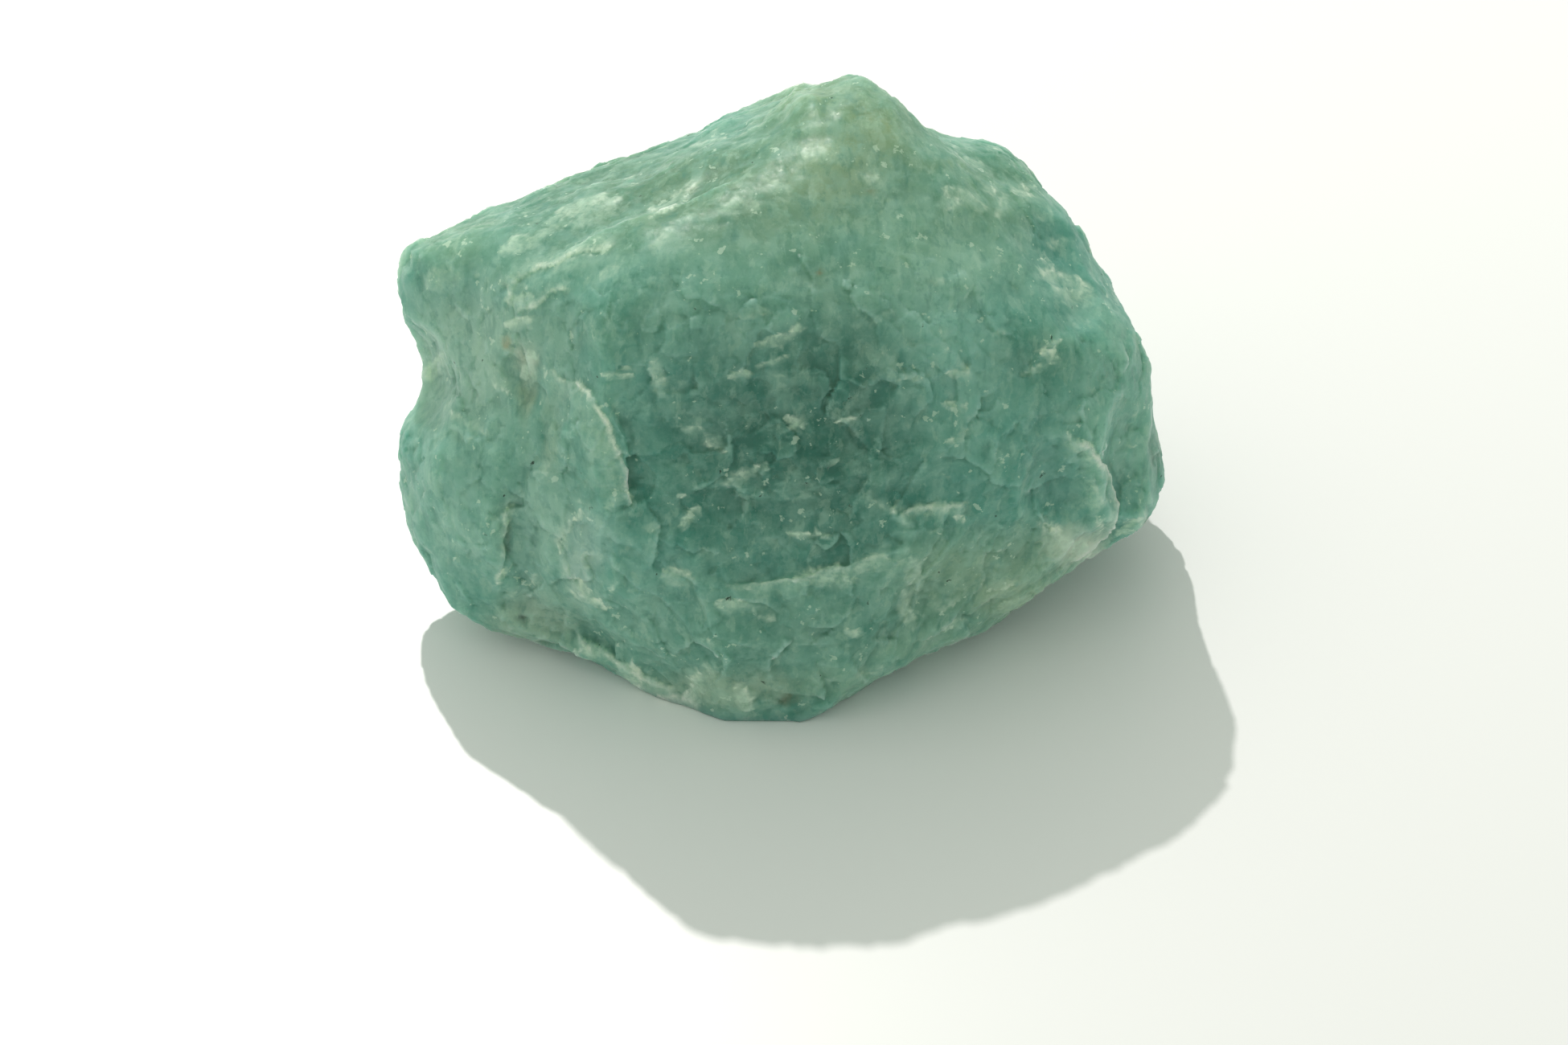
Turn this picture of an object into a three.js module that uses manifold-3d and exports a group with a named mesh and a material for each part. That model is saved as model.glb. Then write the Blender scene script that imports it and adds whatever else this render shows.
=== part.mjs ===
// A rough lump of amazonite, the green feldspar, as it comes from the hammer: cleavage faces that meet in
// softened edges, a flaked hollow with stepped ledges, shell-shaped chips, and one small flat that it
// rests on.
//
// Everything is in millimetres. The lump is shaped lying on its back, with its broad cleavage face up (+Z)
// and the length of that face along X, because its rim and faces are simplest to state there. At the end it
// is tipped forward onto its resting flat, so that +Z is up, the broad face looks towards -Y, and the origin
// is the bottom centre of its bounding box.

import * as THREE from 'three';
import { ImprovedNoise } from 'three/addons/math/ImprovedNoise.js';
import { mergeVertices } from 'three/addons/utils/BufferGeometryUtils.js';
import Module from 'manifold-3d';

// ---- driving dimensions -------------------------------------------------------------------------------

// The widest section of the lump, counter-clockwise from its right-hand end, as x, y.
const rim = [
  [20.8, 0.9], [19.6, 4.9], [17.6, 9.0], [14.4, 13.3], [12.3, 15.7], [9.3, 16.4], [6.0, 17.6], [3.4, 19.5],
  [0.2, 18.8], [-5.3, 17.3], [-12.6, 14.5], [-20.6, 12.2], [-24.0, 11.6], [-24.5, 9.1], [-23.4, 4.6],
  [-22.0, 1.6], [-23.7, -1.6], [-23.5, -5.2], [-21.6, -9.9], [-19.3, -12.8], [-16.5, -13.7],
  [-13.7, -14.3], [-9.4, -16.6], [-6.5, -20.5], [0.0, -18.8], [4.8, -16.1], [12.3, -12.5], [16.9, -9.1],
  [20.6, -7.5], [22.3, -3.9],
];
const frontDepth = 21; // how far the lump would bulge in front of that section if no face cut it
const backDepth = 20; // and behind it
const bodyPower = 3.6; // 2 is an ellipsoid, and more is boxier

// The lump's faces: the outward direction, the distance from the middle of the widest section, and for the
// well-rounded ones how far the edge round the face is rounded.
const faces = {
  broad: { normal: [0.02, -0.36, 0.93], distance: 13.3 },
  broadRight: { normal: [0.3, -0.2, 0.93], distance: 14.4, softness: 3.2 },
  brow: { normal: [0.0, 0.12, 0.99], distance: 16.7, softness: 3.2 },
  upperBrow: { normal: [-0.12, 0.6, 0.79], distance: 17.9, softness: 3.2 },
  upperLeftShelf: { normal: [-0.34, 0.87, 0.36], distance: 17.2, softness: 2.4 },
  rightBrow: { normal: [0.42, 0.28, 0.86], distance: 16.4, softness: 3.2 },
  upperRight: { normal: [0.58, 0.53, 0.62], distance: 17.8, softness: 2.4 },
  crown: { normal: [0.5, 0.78, 0.38], distance: 18.9 },
  rightEnd: { normal: [0.85, 0.08, 0.52], distance: 19.2 },
  lowerRight: { normal: [0.42, -0.61, 0.67], distance: 15.2 },
  lowerStrip: { normal: [-0.05, -0.62, 0.78], distance: 15.2 },
  lowerLeft: { normal: [-0.38, -0.66, 0.65], distance: 16.2 },
  leftEnd: { normal: [-0.72, -0.08, 0.69], distance: 18.2 },
  upperLeftCorner: { normal: [-0.5, 0.44, 0.75], distance: 19.8 },
  back: { normal: [0.08, 0.6, -0.79], distance: 14.8 },
  backLeft: { normal: [-0.66, 0.34, -0.67], distance: 17.0 },
  backRight: { normal: [0.66, 0.5, -0.56], distance: 21.6 },
  underLeft: { normal: [-0.36, -0.33, -0.87], distance: 12.7 },
  underRight: { normal: [0.28, -0.64, -0.71], distance: 13.4 },
  underBack: { normal: [0.06, -0.19, -0.98], distance: 13.2 },
};
const edgeSoftness = 1.1; // how far the worn edge round a face is rounded, where the face doesn't say

// Swells on the surface: where, how high and how wide.
const swells = [
  { name: 'left lobe', at: [-20.5, -4.5, 5.5], height: 1.3, size: 4.6 },
  { name: 'upper left knob', at: [-21.0, 9.2, 4.5], height: 0.9, size: 3.2 },
  { name: 'crown', at: [3.4, 18.5, 6.0], height: 0.8, size: 4.0 },
  { name: 'right shoulder', at: [20.5, 2.0, 6.0], height: 1.0, size: 4.6 },
  { name: 'lower left foot', at: [-15.5, -11.0, 6.5], height: 0.9, size: 3.6 },
  { name: 'back hump', at: [6.0, 9.0, -13.0], height: 1.4, size: 6.5 },
  { name: 'back left hump', at: [-13.0, 5.0, -11.0], height: 1.0, size: 5.0 },
];

// Uneven break surface: the height of the undulation and the distance between its crests.
const undulations = [
  { height: 0.75, spacing: 8.5 },
  { height: 0.42, spacing: 3.6 },
  { height: 0.2, spacing: 1.9 },
];

const leanForward = 48; // degrees that the broad face is tipped forward from flat
const restingDrop = 11.6; // from the middle of the widest section down to the resting flat
const bodyDetail = 16; // the sphere that the body is drawn from has 20 * (detail + 1)^2 triangles
const rimPoints = 240; // points that the rim's curve is read at
const leastFacing = 0.1; // a face cuts a direction only if the cosine between them is more than this

const noise = new ImprovedNoise();
const undulationStart = new THREE.Vector3(7.3, 2.1, 5.7); // where in the noise the lump's middle lies

// ---- the body: a sphere pushed out to the rim and cut back by the faces ----------------------------------

const rimSamples = sampleRim();

function sampleRim() {
  const curve = new THREE.CatmullRomCurve3(
    rim.map(([x, y]) => new THREE.Vector3(x, y, 0)), true, 'centripetal');
  return curve
    .getPoints(rimPoints)
    .slice(0, rimPoints)
    .map((p) => ({ angle: Math.atan2(p.y, p.x), radius: Math.hypot(p.x, p.y) }))
    .sort((a, b) => a.angle - b.angle);
}

// The rim's radius in one direction round the widest section.
function rimRadius(angle) {
  let next = rimSamples.findIndex((s) => s.angle > angle);
  if (next < 0) next = 0;
  const after = rimSamples[next];
  const before = rimSamples.at(next - 1);
  const turn = 2 * Math.PI;
  const span = (after.angle - before.angle + turn) % turn;
  const share = ((angle - before.angle + turn) % turn) / span;
  return THREE.MathUtils.lerp(before.radius, after.radius, share);
}

// The smaller of two values, rounded where they are within `softness` of each other.
function softMin(a, b, softness) {
  const h = Math.max(softness - Math.abs(a - b), 0) / softness;
  return Math.min(a, b) - (h * h * softness) / 4;
}

const faceList = Object.values(faces).map(({ normal, distance, softness = edgeSoftness }) => ({
  normal: new THREE.Vector3(...normal).normalize(),
  distance,
  softness,
}));

function bodyRadius(direction) {
  const across = Math.hypot(direction.x, direction.y) / rimRadius(Math.atan2(direction.y, direction.x));
  const through = Math.abs(direction.z) / (direction.z > 0 ? frontDepth : backDepth);
  let radius = (across ** bodyPower + through ** bodyPower) ** (-1 / bodyPower);
  for (const { normal, distance, softness } of faceList) {
    const facing = direction.dot(normal);
    if (facing > leastFacing) radius = softMin(radius, distance / facing, softness);
  }
  return radius;
}

function swellAt(point) {
  let height = 0;
  for (const swell of swells) {
    const away = point.distanceTo(new THREE.Vector3(...swell.at)) / swell.size;
    height += swell.height * Math.exp(-away * away);
  }
  return height;
}

function undulationAt(point) {
  let height = 0;
  for (const wave of undulations) {
    const place = point.clone().divideScalar(wave.spacing).add(undulationStart);
    height += wave.height * noise.noise(place.x, place.y, place.z);
  }
  return height;
}

function bodyGeometry() {
  const geometry = new THREE.IcosahedronGeometry(1, bodyDetail);
  const position = geometry.attributes.position;
  const point = new THREE.Vector3();
  for (let i = 0; i < position.count; i++) {
    const direction = point.fromBufferAttribute(position, i).normalize().clone();
    point.copy(direction).multiplyScalar(bodyRadius(direction));
    point.addScaledVector(direction, swellAt(point) + undulationAt(point));
    position.setXYZ(i, point.x, point.y, point.z);
  }
  return geometry;
}

// ---- cuts: flaked hollows with ledges round them, shell-shaped chips, and the resting flat ----------------

// A hollow that a sheet has flaked out of: its outline as x, y on the broad face, drawn with torn edges, and
// the plane that its floor follows, as an outward direction and a distance.
const hollows = [
  {
    name: 'broad face hollow',
    outline: [
      [-14.0, 3.0], [-12.4, 1.5], [-11.0, 0.2], [-10.1, -1.8], [-9.7, -4.2], [-9.1, -6.8], [-7.9, -9.4],
      [-4.4, -10.6], [-1.4, -10.4], [3.0, -9.6], [6.2, -8.6], [7.0, -6.3], [9.8, -5.8], [12.4, -5.0],
      [14.4, -1.6], [14.0, 4.0], [9.0, 9.0], [1.0, 11.6], [-6.0, 10.2], [-11.4, 7.6],
    ],
    floor: { normal: [0.0, -0.4, 0.917], distance: 12.8 },
  },
  {
    name: 'lower terrace of the hollow',
    outline: [
      [-9.0, -6.2], [-5.4, -5.0], [-0.6, -5.6], [3.8, -4.4], [6.8, -5.2], [6.2, -7.0], [3.4, -7.6],
      [0.4, -8.7], [-3.8, -9.5], [-7.4, -9.2],
    ],
    floor: { normal: [-0.03, -0.37, 0.929], distance: 12.55 },
  },
  {
    name: 'step left of the arc',
    outline: [
      [-15.6, -3.4], [-13.2, -4.6], [-12.5, -7.0], [-13.6, -9.4], [-12.4, -11.8], [-9.8, -14.6],
      [-13.6, -17.6], [-17.4, -15.6], [-17.0, -10.6], [-16.4, -6.6],
    ],
    floor: { normal: [-0.42, -0.5, 0.757], distance: 15.35 },
  },
  {
    name: 'lower ledge',
    outline: [
      [-7.4, -13.0], [-6.2, -17.4], [0.4, -20.6], [8.4, -18.0], [9.6, -13.2], [4.6, -12.4], [1.2, -13.4],
      [-3.4, -12.9],
    ],
    floor: { normal: [-0.02, -0.7, 0.72], distance: 15.6 },
  },
  {
    name: 'back step',
    outline: [
      [-13.0, 3.0], [-7.0, 4.6], [-1.0, 3.2], [5.0, 4.8], [9.6, 3.4], [13.4, 8.0], [8.0, 13.0], [-2.0, 15.0],
      [-12.0, 12.0],
    ],
    floor: { normal: [0.04, 0.68, -0.73], distance: 14.4 },
  },
];

// Shell-shaped chips: a point on the way out to the chip, the way that the chip's floor faces, the radii of
// the shell that scooped it (along, across and into the floor), its turn in degrees and how deep it bites.
const chips = [
  {
    name: 'lower right scoop',
    to: [16.4, -5.2, 8.4], facing: [0.3, -0.5, 0.81],
    radii: [5.4, 8.0, 6.0], turn: 20, bite: 0.95,
  },
  {
    name: 'lower right lip',
    to: [18.6, -9.0, 3.6], facing: [0.5, -0.75, 0.42],
    radii: [9.0, 9.0, 9.0], turn: 0, bite: 0.8,
  },
  {
    name: 'right shelf',
    to: [21.0, -2.4, 6.0], facing: [0.85, -0.2, 0.48],
    radii: [9.0, 14.0, 14.0], turn: 0, bite: 0.7,
  },
  {
    name: 'left notch',
    to: [-22.6, 1.5, 2.6], facing: [-0.85, 0.1, 0.5],
    radii: [4.6, 8.0, 6.0], turn: 70, bite: 0.9,
  },
  {
    name: 'slit beside the left lobe',
    to: [-17.2, -8.4, 7.6], facing: [-0.2, -0.35, 0.91],
    radii: [2.0, 7.4, 3.0], turn: -8, bite: 0.85,
  },
  {
    name: 'foot scar',
    to: [-14.4, -14.0, 4.0], facing: [-0.4, -0.75, 0.52],
    radii: [9.0, 6.0, 8.0], turn: -20, bite: 0.9,
  },
  {
    name: 'upper left step',
    to: [-14.4, 8.6, 9.0], facing: [-0.3, 0.6, 0.74],
    radii: [12.0, 3.4, 5.0], turn: 20, bite: 0.75,
  },
  {
    name: 'second upper left step',
    to: [-8.0, 12.4, 9.0], facing: [-0.25, 0.7, 0.66],
    radii: [14.0, 5.0, 8.0], turn: 12, bite: 0.6,
  },
  {
    name: 'upper right scar',
    to: [15.4, 8.6, 8.0], facing: [0.62, 0.5, 0.6],
    radii: [20.0, 30.0, 30.0], turn: -40, bite: 0.25,
  },
  {
    name: 'back left scoop',
    to: [-19.0, 1.0, -7.0], facing: [-0.82, 0.2, -0.53],
    radii: [12.0, 14.0, 12.0], turn: 10, bite: 1.3,
  },
  {
    name: 'back right scoop',
    to: [18.6, 2.0, -9.0], facing: [0.8, 0.3, -0.52],
    radii: [13.0, 10.0, 12.0], turn: -20, bite: 0.9,
  },
  {
    name: 'under right scoop',
    to: [15.0, -8.4, -6.0], facing: [0.5, -0.72, -0.48],
    radii: [14.0, 9.0, 11.0], turn: 10, bite: 1.2,
  },
  {
    name: 'under left scoop',
    to: [-14.0, -10.0, -6.0], facing: [-0.45, -0.72, -0.53],
    radii: [12.0, 9.0, 10.0], turn: -15, bite: 1.1,
  },
  {
    name: 'back ridge chip',
    to: [6.0, 17.0, -5.0], facing: [0.2, 0.86, -0.46],
    radii: [10.0, 7.0, 9.0], turn: 15, bite: 1.0,
  },
  {
    name: 'left back ridge chip',
    to: [-13.0, 12.0, -4.0], facing: [-0.4, 0.85, -0.34],
    radii: [8.0, 7.0, 8.0], turn: -15, bite: 0.9,
  },
];
const chipDetail = 6; // the sphere that a chip's shell is drawn from has 20 * (detail + 1)^2 triangles
const chipRoughness = 0.05; // how uneven a chip's shell is, as a share of its radii
const chipBumps = 3; // bumps of that unevenness along one radius
const chipVariety = 9; // how fast the unevenness changes from one chip to the next
const tornEdge = 0.45; // how far a hollow's edge wanders
const tornSpacing = 1.1; // distance between the bends of that edge
const tornLevel = 3.3; // height in the noise that the bends are read at
const edgePoints = 64; // points round a hollow's torn edge
const edgeTension = 0.35; // how tightly the edge follows its outline's points
const floorShare = 0.6; // how much of the lump's undulation a hollow's floor has
const floorGrid = 1.8; // distance between the points of a hollow's floor
const cutterReach = 40; // how far a cutter stands out of the lump, which is more than the lump's thickness
const weldDistance = 1e-3; // corners nearer than this are one corner

const wasm = await Module();
wasm.setup();

function solidOf(geometry) {
  const bare = geometry.index ? geometry.toNonIndexed() : geometry.clone();
  bare.deleteAttribute('normal');
  bare.deleteAttribute('uv');
  const merged = mergeVertices(bare, weldDistance);
  return new wasm.Manifold(
    new wasm.Mesh({
      numProp: 3,
      vertProperties: new Float32Array(merged.attributes.position.array),
      triVerts: new Uint32Array(merged.index.array),
    }),
  );
}

function geometryOf(solid) {
  const mesh = solid.getMesh();
  const geometry = new THREE.BufferGeometry();
  geometry.setAttribute('position', new THREE.BufferAttribute(new Float32Array(mesh.vertProperties), 3));
  geometry.setIndex(new THREE.BufferAttribute(new Uint32Array(mesh.triVerts), 1));
  return geometry;
}

// The stuff in front of a hollow's floor: a block whose back is the uneven floor, within the torn outline.
function hollowCutter({ outline, floor }) {
  const curve = new THREE.CatmullRomCurve3(
    outline.map(([x, y]) => new THREE.Vector3(x, y, 0)), true, 'catmullrom', edgeTension);
  const torn = curve.getSpacedPoints(edgePoints).slice(0, edgePoints).map((p) => {
    const push = tornEdge * noise.noise(p.x / tornSpacing, p.y / tornSpacing, tornLevel);
    return new THREE.Vector2(p.x + push, p.y - push);
  });
  const prism = new THREE.ExtrudeGeometry(new THREE.Shape(torn), {
    depth: 2 * cutterReach, bevelEnabled: false,
  });
  prism.translate(0, 0, -cutterReach);

  const bounds = new THREE.Box2().setFromPoints(torn).expandByScalar(floorGrid);
  const size = bounds.getSize(new THREE.Vector2());
  const middle = bounds.getCenter(new THREE.Vector2());
  const block = new THREE.BoxGeometry(
    size.x, size.y, 1, Math.round(size.x / floorGrid), Math.round(size.y / floorGrid), 1);
  block.translate(middle.x, middle.y, 0);
  const position = block.attributes.position;
  const normal = new THREE.Vector3(...floor.normal).normalize();
  const front = Math.sign(normal.z);
  for (let i = 0; i < position.count; i++) {
    const x = position.getX(i);
    const y = position.getY(i);
    const floorZ = (floor.distance - normal.x * x - normal.y * y) / normal.z;
    const uneven = undulationAt(new THREE.Vector3(x, y, floorZ));
    position.setZ(i, position.getZ(i) * front > 0 ? front * cutterReach : floorZ + floorShare * uneven);
  }
  return solidOf(prism).intersect(solidOf(block));
}

function chipCutter({ to, facing, radii, turn, bite }) {
  const out = new THREE.Vector3(...to).normalize();
  const face = new THREE.Vector3(...facing).normalize();
  const geometry = new THREE.IcosahedronGeometry(1, chipDetail);
  const position = geometry.attributes.position;
  const point = new THREE.Vector3();
  for (let i = 0; i < position.count; i++) {
    point.fromBufferAttribute(position, i);
    const place = point.clone().multiplyScalar(chipBumps).addScaledVector(out, chipVariety);
    point.multiplyScalar(1 + chipRoughness * noise.noise(place.x, place.y, place.z));
    position.setXYZ(i, point.x, point.y, point.z);
  }
  geometry.scale(...radii);
  geometry.rotateZ(THREE.MathUtils.degToRad(turn));
  geometry.applyQuaternion(new THREE.Quaternion().setFromUnitVectors(new THREE.Vector3(0, 0, 1), face));
  const surface = out.clone().multiplyScalar(bodyRadius(out));
  geometry.translate(...surface.addScaledVector(face, radii[2] - bite));
  return solidOf(geometry);
}

// Everything below the resting flat, as a block with its top on that plane once the lump is tipped forward.
function restingCutter(tip) {
  const block = new THREE.BoxGeometry(4 * cutterReach, 4 * cutterReach, cutterReach);
  block.translate(0, 0, -restingDrop - cutterReach / 2);
  return solidOf(block.applyMatrix4(tip.clone().invert()));
}

// ---- the lump --------------------------------------------------------------------------------------------

const tip = new THREE.Matrix4().makeRotationX(THREE.MathUtils.degToRad(leanForward));

let lump = solidOf(bodyGeometry());
for (const hollow of hollows) lump = lump.subtract(hollowCutter(hollow));
for (const chip of chips) lump = lump.subtract(chipCutter(chip));
lump = lump.subtract(restingCutter(tip));
lump = lump.decompose().sort((a, b) => b.volume() - a.volume())[0];

const geometry = geometryOf(lump).applyMatrix4(tip);
geometry.computeBoundingBox();
const { min, max } = geometry.boundingBox;
geometry.translate(-(min.x + max.x) / 2, -(min.y + max.y) / 2, -min.z);
geometry.computeVertexNormals();

const amazonite = new THREE.Mesh(
  geometry,
  new THREE.MeshStandardMaterial({ color: '#6a9a84', roughness: 0.45, metalness: 0, flatShading: true }),
);
amazonite.name = 'amazonite';

const stone = new THREE.Group();
stone.add(amazonite);

export default stone;
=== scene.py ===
# Rough amazonite: one broken lump of green feldspar, resting on its small flat on a pale studio floor.

import math
import random

import bmesh
import bpy
import numpy
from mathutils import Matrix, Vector, kdtree, noise


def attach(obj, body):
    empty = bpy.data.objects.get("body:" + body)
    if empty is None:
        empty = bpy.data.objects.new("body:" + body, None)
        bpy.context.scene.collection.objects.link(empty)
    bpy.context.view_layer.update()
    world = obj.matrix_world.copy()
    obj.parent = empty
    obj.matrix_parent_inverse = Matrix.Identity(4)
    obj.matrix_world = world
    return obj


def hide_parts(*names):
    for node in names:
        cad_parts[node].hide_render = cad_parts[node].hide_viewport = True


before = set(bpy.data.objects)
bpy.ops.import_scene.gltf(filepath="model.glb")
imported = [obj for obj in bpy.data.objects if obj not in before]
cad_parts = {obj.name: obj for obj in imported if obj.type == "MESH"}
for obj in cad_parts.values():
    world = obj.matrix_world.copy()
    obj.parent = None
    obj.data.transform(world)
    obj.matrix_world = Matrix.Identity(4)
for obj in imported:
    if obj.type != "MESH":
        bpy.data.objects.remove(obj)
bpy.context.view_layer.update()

mm = 0.001  # one millimetre, in Blender's metres

# the camera looks square at the broad face, a little above the stone's height
view = {
    "elevation": 42.0,  # degrees above the horizon
    "distance": 420.0,  # mm from the middle of the stone
    "pictureWidth": 94.0,  # mm across the picture, at the stone
    "aimBelow": 7.4,  # mm that the aim lies below the middle of the outline, which leaves room for the shadow
    "sensorWidth": 36.0,  # mm
}

tilt = math.radians(view["elevation"])
acrossFace = Vector((1, 0, 0))
upFace = Vector((0, math.sin(tilt), math.cos(tilt)))
outOfFace = Vector((0, -math.cos(tilt), math.sin(tilt)))


def addNode(tree, kind, settings=None, inputs=None):
    node = tree.nodes.new(kind)
    for name, value in (settings or {}).items():
        setattr(node, name, value)
    for name, value in (inputs or {}).items():
        if isinstance(value, bpy.types.NodeSocket):
            tree.links.new(value, node.inputs[name])
        else:
            node.inputs[name].default_value = value
    return node


def linearColour(hexCode):
    channels = [int(hexCode[i:i + 2], 16) / 255 for i in (1, 3, 5)]
    return [c / 12.92 if c <= 0.04045 else ((c + 0.055) / 1.055) ** 2.4 for c in channels] + [1.0]


def smoothStep(low, high, value):  # 0 at low, 1 at high, and low may be the larger of the two
    share = min(max((value - low) / (high - low), 0.0), 1.0)
    return share * share * (3 - 2 * share)


# Lengths are in mm. A wander is a list of noises, each with its spacing, its height and a salt that sets it
# apart from the others. A range is where a share begins and where it is whole.
stone = {
    "voxel": 0.155,  # between the points of the worked mesh
    "weld": 0.004,  # the CAD model's doubled points are joined within this
    "triangles": 190000,  # what the finished mesh is thinned to, mostly on its smooth parts
    "softening": 9,  # passes that take the CAD model's facets off
    "unfolding": 90,  # passes that take the folds out of the worn places
    # the worn places, in half sizes: how far the sheet is fitted, where it fades, how far folds are taken out
    "sheetReachSquared": 2,
    "sheetRange": (1.2, 0.6),
    "unfoldReachSquared": 1.2,
    "calmFacing": 0.15,  # how far a point of a calm place has to face the camera
    "lumps": [(7.0, 0.2), (3.1, 0.2), (1.6, 0.09), (0.8, 0.04), (0.4, 0.02)],  # spacing and height
    "faceWear": 0.5,  # how much of those lumps the broad face has
    "faceRange": (0.6, 0.95),
    "calmWear": 0.55,  # how much of all the lumps and steps the lit top and the left flank lose
    "litTopRange": ((0.1, 0.5), (0.0, 0.4)),  # facing up the face, and facing the camera
    "leftFlankRange": (-0.3, -0.7),  # facing right
    "striae": {"across": 0.5, "along": 4.0, "height": 0.022},  # fine grooves up the face, from the twinning
    "ribs": {"across": 0.7, "along": 2.6, "lean": 13.0, "height": 0.04},  # low ribs, nearly level
    "flatRim": 0.9,  # height above the resting flat at which the shape is worked in full
    "farSide": {"colour": "#5d8c6c", "share": 0.45, "range": (0.1, -0.5)},  # back and underside
    "tintedFrom": -0.4,  # how far a point may face away from the camera and still have the colour changes
    "wornBlur": 4,  # passes that even out the measure of worn edges and hollows
    "wornBlurShare": 0.6,
    "seed": 11,
    # small flat facets of the break: size across, up and out of the face, tilt, and the step between them
    "facets": {
        "layers": [
            {"size": (2.6, 3.2, 2.6), "tilt": 0.065, "step": 0.04},
            {"size": (1.1, 0.8, 1.1), "tilt": 0.08, "step": 0.02},
        ],
        "waviness": 0.35,  # of their borders
        "wavesPerFacet": 1.3,
        "calmWear": 0.75,  # how much of them the lit top loses
    },
    # steps along the cleavages
    "terraces": {
        "share": 0.25,  # how nearly the cleavage steps are cut square
        "squareRange": (0.72, 0.95),  # how square to the cleavage the surface has to be
        "wander": [(7.0, 0.7, 3.0), (2.2, 0.22, 5.0)],  # in steps
        "riserRange": (0.42, 0.58),  # part of a step's height that its riser takes
        "patchSpacing": 5.5,
        "patchSalt": 9.0,
        "patchRange": (-0.15, 0.25),
    },
    # shell-shaped chips, spread at random
    "scallops": {
        "count": 150,
        "radius": (0.8, 2.6),
        "depth": (0.02, 0.09),
        "leastDepth": 0.02,
        "search": 1.6,  # how far from its middle a chip is looked for, in radii
        "squeeze": (0.5, 1.6),  # across and up the face
        "squeezeOut": (0.6, 1.4),  # out of it
        "wander": [(1.2, 0.18, 41.0)],
        "brink": 0.25,
        "calmWear": 0.6,
    },
    # how the ledges below are cut
    "ledgeCut": {
        "seenFrom": 0.05,  # how far a point has to face the camera
        "margin": 4,  # how far from its line a ledge works
        "wander": [(1.7, 0.3, 21.0), (0.6, 0.14, 25.0)],
        "endShare": 0.12,  # part of the line over which it fades out at each end
        "lipAt": 0.08,
        "lipWidth": 0.11,
        "lipGaps": (1.1, 31.0),  # spacing and salt of the gaps in the lip
        "lipRange": (-0.35, 0.15),
        "fillFrom": -0.05,
        "fillWander": [(0.7, 0.3, 33.0)],
        "fillRange": (0.55, 0.0),
    },
    "dentShape": {"wander": [(1.8, 0.3, 71.0)], "margin": 1.2},
    # how the colour changes below fade out
    "tintShape": {
        "margin": 1.4,  # how far from the middle it is looked for, in half sizes
        "edgeRange": (1.15, 0.25),  # in half sizes
        "waviness": 0.25,
        "waveSpacing": 0.35,  # part of half width and half height together
        "salt": 61.0,
    },
    # thin flakes; those at random have a length, a width that is a part of it, a paleness and a brightness of
    # the edge that is a part of that, and "unevenness" is how far they stray from the perthite's lean
    "flakes": {
        "count": 420,
        "length": (0.4, 2.0),
        "widthShare": (0.2, 0.7),
        "pale": (0.06, 0.52),
        "edgeShare": (0.4, 1.6),
        "unevenness": 0.35,
        # limits for those that are laid out as seen, on ground that leans away
        "leastFacing": 0.3,
        "mostLengthening": 2.0,
        "leastNarrowing": 0.45,
        "litTopFade": 0.35,
        "thickness": 0.02,
        "leastLift": 0.3,  # part of the thickness that the faintest have
        "search": 0.6,  # how far from its middle a flake is looked for, in lengths or widths
        "outside": 1.3,  # and where it surely ends, in half sizes
        "bend": 0.5,
        "skew": 0.5,
        "endWander": [(0.5, 0.3, 53.0)],
        "rimWander": [(0.7, 0.45, 51.0), (0.33, 0.3, 55.0)],
        "squareness": 0.75,
        "insideRange": (1.05, 0.94),
        "fading": 0.65,  # how milky the middle is
        "fadingWander": [(0.5, 0.8, 57.0)],
        "fadingAcross": 0.4,  # how much milkier the side with the torn edge is
        "edgeAt": 0.88,
        "edgeWidth": 0.18,
        "farEdge": 0.2,  # how bright the other side's edge is
        "edgeGaps": (0.5, 59.0),  # spacing and salt
        "edgeRange": (-0.3, 0.2),
    },
}
# The two good cleavages of feldspar, nearly square to each other, and the rough third direction:
# the direction across the steps in face coordinates, and the height of a step.
cleavages = [
    {"across": Vector((0.02, -0.36, 0.93)), "step": 0.62},
    {"across": Vector((-0.05, 0.93, 0.36)), "step": 0.6},
    {"across": Vector((0.97, 0.06, 0.22)), "step": 0.8},
]

# Places where the steps of the CAD model are worn down to a smooth sheet, places where the break is smoother
# than elsewhere, and dents that are pressed in (or swell, where the depth is below 0): right and up from the
# middle of the outline, half width and half height.
wornPlaces = [
    {"name": "lower left bend of the hollow", "at": (-7.2, -9.4), "size": (3.6, 3.9)},
    {"name": "between the arc and the left lobe", "at": (-14.0, -7.8), "size": (3.5, 5.8)},
]
calmPlaces = [
    {"name": "upper left", "at": (-8.0, 9.6), "size": (13.0, 6.6), "passes": 140},
    {"name": "upper right", "at": (9.0, 9.4), "size": (9.0, 7.0), "passes": 90},
    {"name": "lower ledge", "at": (1.6, -10.4), "size": (7.0, 1.8), "passes": 60},
]
dents = [
    {"name": "valley beside the left lobe", "at": (-15.4, -8.8), "size": (1.6, 4.6), "depth": 0.3},
    {"name": "inside of the scooped chip", "at": (16.6, -5.6), "size": (2.6, 3.0), "depth": 0.35},
    {"name": "dip left of the arc's top", "at": (-15.4, 1.0), "size": (1.8, 2.6), "depth": 0.25},
    {"name": "swell right of the arc's foot", "at": (-7.9, -5.2), "size": (2.1, 3.8), "depth": -0.24},
    {"name": "shoulder left of the peak", "at": (1.5, 17.2), "size": (3.0, 2.3), "depth": -0.8},
]

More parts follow.
